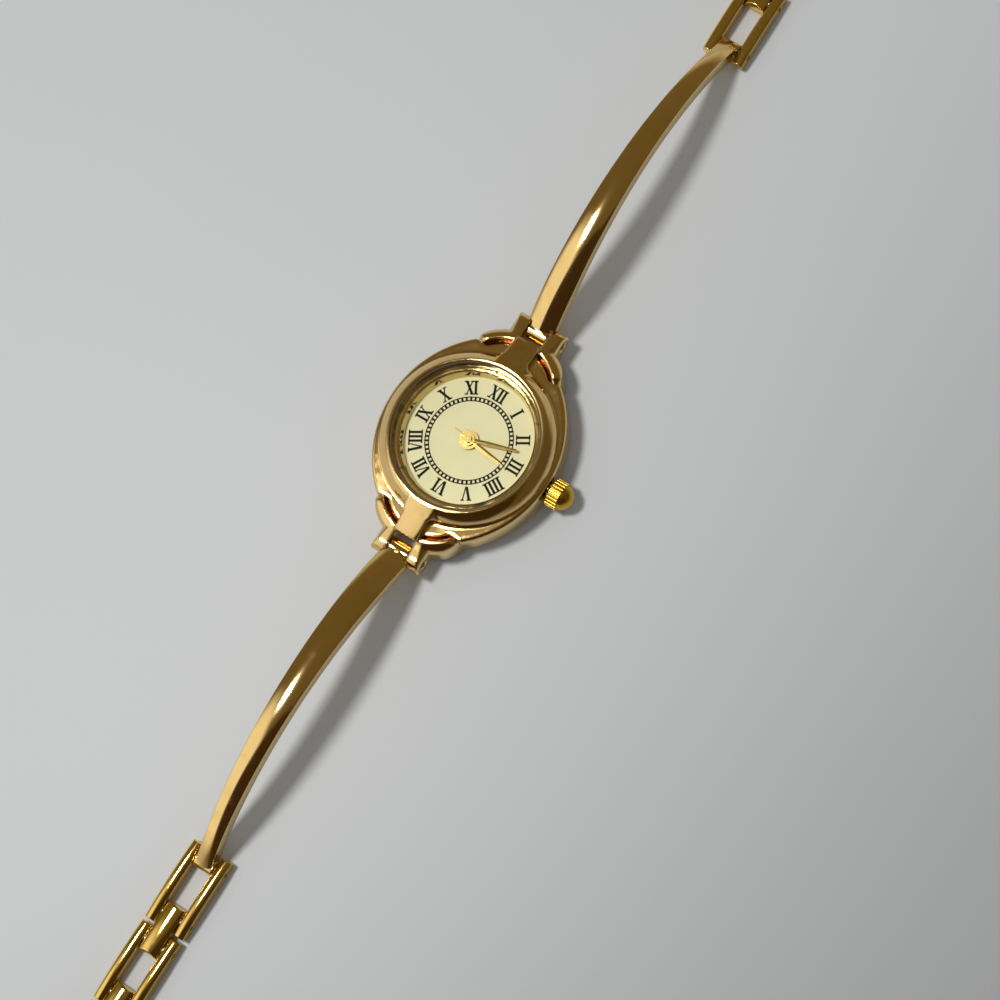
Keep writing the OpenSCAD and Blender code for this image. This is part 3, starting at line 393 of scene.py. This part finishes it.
# The finish of each piece; pins not named here are steel, and the links are gold
NODE_FINISH = {
    "case_body": case_gold, "case_back": steel, "back_gasket": gasket_rubber,
    "crystal": crystal_glass, "crystal_gasket": gasket_plastic, "dial_ring": ring_gold,
    "dial": dial_paint, "hour_hand": hand_gold, "minute_hand": hand_gold, "second_hand": hand_gold,
    "crown": crown_gold, "crown_gasket": gasket_rubber, "stem_tube": steel, "stem": steel,
    "setting_pinion": steel, "setting_lever": steel, "movement_holder": holder_plastic,
    "main_plate": movement_brass, "train_bridge": movement_brass, "bridge_screws": steel,
    "battery": can_steel, "battery_strap": movement_brass, "circuit_board": board,
    "quartz_can": can_steel, "coil": winding, "stator": can_steel, "rotor": magnet,
    "step_wheel": movement_brass, "seconds_wheel": movement_brass, "third_wheel": movement_brass,
    "centre_wheel": movement_brass, "minute_wheel": movement_brass, "hour_wheel": movement_brass,
    "arm_12": arm_gold, "arm_6": arm_gold, "clasp_pin": steel, "cover_pin": steel,
}


def dress(piece, finish):
    """Gives the piece this one material"""
    piece.data.materials.clear()
    piece.data.materials.append(finish)


for name, piece in nodes.items():
    usual = steel if name.endswith("_pins") else link_gold
    dress(piece, NODE_FINISH.get(name, usual))


# Modelling by hand

def choose_none():
    if bpy.context.object and bpy.context.object.mode != "OBJECT":
        bpy.ops.object.mode_set(mode="OBJECT")
    bpy.ops.object.select_all(action="DESELECT")


def choose(*pieces):
    """Selects these pieces alone"""
    choose_none()
    for piece in pieces:
        piece.select_set(True)
    bpy.context.view_layer.objects.active = pieces[0]


def pick(piece, test):
    """In edit mode, selects the corners whose place passes the test"""
    mesh = bmesh.from_edit_mesh(piece.data)
    for part in (mesh.faces, mesh.edges, mesh.verts):
        for item in part:
            item.select = False
    for corner in mesh.verts:
        corner.select = test(corner.co)
    mesh.select_flush(True)
    bmesh.update_edit_mesh(piece.data)


def settle(piece):
    """Moves the piece's place into its mesh"""
    choose(piece)
    bpy.ops.object.transform_apply(location=True, rotation=True, scale=True)


def copy_of(piece):
    twin = piece.copy()
    twin.data = piece.data.copy()
    scene.collection.objects.link(twin)
    return twin


def join(name, pieces):
    choose(*pieces)
    bpy.ops.object.join()
    joined = bpy.context.object
    joined.name = name
    joined.data.name = name
    return joined


# The print on the dial: its thickness, and the numerals' foot circle, height and serifs
DIAL_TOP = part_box("dial")[1].z
INK_T = 0.02 * MM
NUMERAL_IN = 5.94 * MM
NUMERAL_H = 1.81 * MM
SERIF_H = 0.17 * MM
HEAD = NUMERAL_H - SERIF_H


def stroke(name, width, height, lean, x, y=0.0):
    """One printed stroke: upright or leaning, with its foot at x"""
    choose_none()
    middle = y + height / 2
    bpy.ops.mesh.primitive_cube_add(size=1, location=(x, middle, 0), scale=(width, height, INK_T))
    piece = bpy.context.object
    piece.name = name
    settle(piece)
    bpy.ops.object.mode_set(mode="EDIT")
    pick(piece, lambda co: co.y > middle)
    bpy.ops.transform.translate(value=(lean, 0, 0))
    bpy.ops.object.mode_set(mode="OBJECT")
    return piece


def serif(name, width, x, y=0.0):
    """The short bar across a stroke's foot or head"""
    return stroke(name, width, SERIF_H, 0, x, y)


def letter_i():
    thick = 0.31 * MM
    serif_w = 0.64 * MM
    return join("letter_i", [
        stroke("stem_i", thick, NUMERAL_H, 0, 0),
        serif("foot_i", serif_w, 0),
        serif("head_i", serif_w, 0, HEAD),
    ])


def letter_v():
    thick = 0.34 * MM
    thin = 0.15 * MM
    half = 0.40 * MM
    thick_foot = -0.02 * MM
    thin_foot = 0.06 * MM
    wide_serif = 0.60 * MM
    narrow_serif = 0.42 * MM
    narrow_at = half + 0.05 * MM
    return join("letter_v", [
        stroke("thick_v", thick, NUMERAL_H, -half, thick_foot),
        stroke("thin_v", thin, NUMERAL_H, half, thin_foot),
        serif("head_v_left", wide_serif, -half, HEAD),
        serif("head_v_right", narrow_serif, narrow_at, HEAD),
    ])


def letter_x():
    thick = 0.35 * MM
    thin = 0.16 * MM
    half = 0.38 * MM
    wide_serif = 0.58 * MM
    narrow_serif = 0.46 * MM
    return join("letter_x", [
        stroke("thick_x", thick, NUMERAL_H, -2 * half, half),
        stroke("thin_x", thin, NUMERAL_H, 2 * half, -half),
        serif("foot_x_left", narrow_serif, -half),
        serif("foot_x_right", wide_serif, half),
        serif("head_x_left", wide_serif, -half, HEAD),
        serif("head_x_right", narrow_serif, half, HEAD),
    ])


LETTERS = {"I": letter_i(), "V": letter_v(), "X": letter_x()}
LETTER_W = {"I": 0.56 * MM, "V": 1.06 * MM, "X": 1.06 * MM}
# The strokes of II and III stand wider apart
I_APART = {"II": 0.70 * MM, "III": 0.62 * MM}
NUMERALS = ["XII", "I", "II", "III", "IIII", "V", "VI", "VII", "VIII", "IX", "X", "XI"]
HOUR_DEGREES = 30


def print_on_dial(piece):
    """Inks the piece and fixes it to the case"""
    dress(piece, dial_ink)
    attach(piece, "case")


def numeral(hour, letters):
    """A numeral set radially, its foot towards the centre"""
    widths = [I_APART.get(letters, LETTER_W[c]) for c in letters]
    x = -sum(widths) / 2
    copies = []
    for c, width in zip(letters, widths):
        twin = copy_of(LETTERS[c])
        twin.location = (x + width / 2, NUMERAL_IN, 0)
        x += width
        copies.append(twin)
    piece = join("numeral_%d" % (hour or 12), copies)
    settle(piece)
    piece.rotation_euler = (0, 0, -math.radians(HOUR_DEGREES * hour))
    piece.location = (0, 0, DIAL_TOP + INK_T / 2)
    settle(piece)
    print_on_dial(piece)


for hour, letters in enumerate(NUMERALS):
    numeral(hour, letters)
for letter in LETTERS.values():
    bpy.data.objects.remove(letter)

# The minute track: its inner and outer radius, and the widths of its lines and bars
TRACK_IN = 5.08 * MM
TRACK_OUT = 5.70 * MM
TRACK_LINE = 0.14 * MM
TRACK_BAR = 0.27 * MM
RING_CORNERS = 240
MINUTES = 60


def printed_ring(name, inner, outer):
    """A flat printed circle"""
    choose_none()
    bpy.ops.mesh.primitive_circle_add(vertices=RING_CORNERS, radius=inner, location=(0, 0, 0))
    piece = bpy.context.object
    piece.name = name
    bpy.ops.object.mode_set(mode="EDIT")
    bpy.ops.mesh.select_all(action="SELECT")
    bpy.ops.mesh.extrude_edges_move()
    grow = outer / inner
    bpy.ops.transform.resize(value=(grow, grow, 1))
    bpy.ops.mesh.select_all(action="SELECT")
    bpy.ops.mesh.extrude_region_move(TRANSFORM_OT_translate={"value": (0, 0, INK_T)})
    bpy.ops.mesh.select_all(action="SELECT")
    bpy.ops.mesh.normals_make_consistent(inside=False)
    bpy.ops.object.mode_set(mode="OBJECT")
    return piece


def minute_track():
    """The railway track: two circles joined by a bar at each minute, which laps a little over both"""
    rings = [
        printed_ring("track_inner", TRACK_IN, TRACK_IN + TRACK_LINE),
        printed_ring("track_outer", TRACK_OUT - TRACK_LINE, TRACK_OUT),
    ]
    inset = 0.8 * TRACK_LINE
    first = stroke("bar", TRACK_BAR, TRACK_OUT - TRACK_IN - 2 * inset, 0, 0, TRACK_IN + inset)
    first.location = (0, 0, INK_T / 2)
    settle(first)
    bars = [first]
    for i in range(1, MINUTES):
        twin = copy_of(first)
        twin.rotation_euler = (0, 0, 2 * math.pi * i / MINUTES)
        bars.append(twin)
    piece = join("minute_track", rings + bars)
    settle(piece)
    piece.location = (0, 0, DIAL_TOP)
    settle(piece)
    print_on_dial(piece)


minute_track()


# The table, the room's glow and the lamp

# The floor, just under the watch, and the painted shade that darkens its colour across x and a little of
# y
FLOOR_SIZE = 4
FLOOR_Z = -0.02 * MM
FLOOR_PALE = (0.66, 0.67, 0.665)
FLOOR_PAINTED_SHADE = (0.40, 0.405, 0.40)
FALL_OF_Y = 0.25
FALL_FROM = -0.015
FALL_TO = 0.120
CLOUDING = 0.12


def table():
    choose_none()
    bpy.ops.mesh.primitive_plane_add(size=FLOOR_SIZE, location=(0, 0, FLOOR_Z))
    floor = bpy.context.object
    floor.name = "table"
    made = Finish("table_top", (0.62, 0.63, 0.63), metallic=0.0, roughness=0.5)
    cloud = made.noise(per_mm=0.012, detail=5)
    x, y, _ = parts_of(made.tree, made.place)
    # Painted shade: the floor's colour darkens from pale towards +x, and a little towards -y, like light
    # falling off
    painted_falloff = (x - FALL_OF_Y * y).over(FALL_FROM, FALL_TO)
    shade = painted_falloff + CLOUDING * cloud - CLOUDING / 2
    made.set("Base Color", made.blend(shade, FLOOR_PALE, FLOOR_PAINTED_SHADE))
    floor.data.materials.append(made.material)
    settle(floor)


table()

# The room's walls, from the floor's level up to the ceiling
WALLS = [
    (0.0, (0.58, 0.58, 0.57, 1)),
    (0.06, (0.52, 0.49, 0.42, 1)),
    (0.2, (0.165, 0.122, 0.055, 1)),
    (0.9, (0.143, 0.105, 0.042, 1)),
]
# Patches in the room: the way to the middle of each, the degrees from it where it ends and where it is
# full, and its colour. A later one lies over an earlier one.
FAR_WALL = ((1.0, 0.15, 0.20), 60, 25, (0.11, 0.082, 0.037, 1))
PALE_PANEL = ((-0.55, -0.60, 0.58), 37, 23, (1.0, 0.96, 0.88, 1))
DARK_PATCH = ((0.38, -0.70, 0.60), 41, 37, (0.045, 0.025, 0.009, 1))
DIM_CEILING = ((0.62, -0.15, 0.77), 17, 13, (0.05, 0.032, 0.012, 1))
SOFT_LIGHT = (0.30, 0.305, 0.315, 1)


def room():
    """A warm dim room: a pale panel on one side, a dark patch beside it, pale low down"""
    world = bpy.data.worlds.new("room")
    world.use_nodes = True
    tree = world.node_tree
    tree.nodes.clear()
    way = Flow(tree, node(tree, "ShaderNodeTexCoord").outputs["Generated"])
    up = parts_of(tree, way)[2]
    walls = node(tree, "ShaderNodeValToRGB", {"stops": WALLS}, {"Fac": up})
    glow = Flow(tree, walls.outputs[0])
    for middle, ends, full, colour in (FAR_WALL, PALE_PANEL, DARK_PATCH, DIM_CEILING):
        aim = tuple(Vector(middle).normalized())
        made = node(tree, "ShaderNodeVectorMath", {"operation": "DOT_PRODUCT"}, {0: way, 1: aim})
        dot = Flow(tree, made.outputs["Value"])
        near = dot.over(math.cos(math.radians(ends)), math.cos(math.radians(full)))
        glow = mix_colours(tree, near, glow, colour)
    soft = Flow(tree, node(tree, "ShaderNodeLightPath").outputs["Is Diffuse Ray"])
    glow = mix_colours(tree, soft, glow, SOFT_LIGHT)
    back = node(tree, "ShaderNodeBackground", None, {"Color": glow, "Strength": 1.0})
    node(tree, "ShaderNodeOutputWorld", None, {"Surface": Flow(tree, back.outputs[0])})
    scene.world = world


room()

# The ceiling lamp, a disc that faces the watch
LAMP_AT = Vector((-180, -70, 592)) * MM
LAMP_ACROSS = 125 * MM
LAMP_WATTS = 1.9


def ceiling_lamp():
    data = bpy.data.lights.new("ceiling", "AREA")
    data.shape = "DISK"
    data.size = LAMP_ACROSS
    data.energy = LAMP_WATTS
    lamp = bpy.data.objects.new("ceiling", data)
    scene.collection.objects.link(lamp)
    lamp.location = LAMP_AT
    lamp.rotation_euler = (-LAMP_AT).to_track_quat("-Z", "Y").to_euler()


ceiling_lamp()
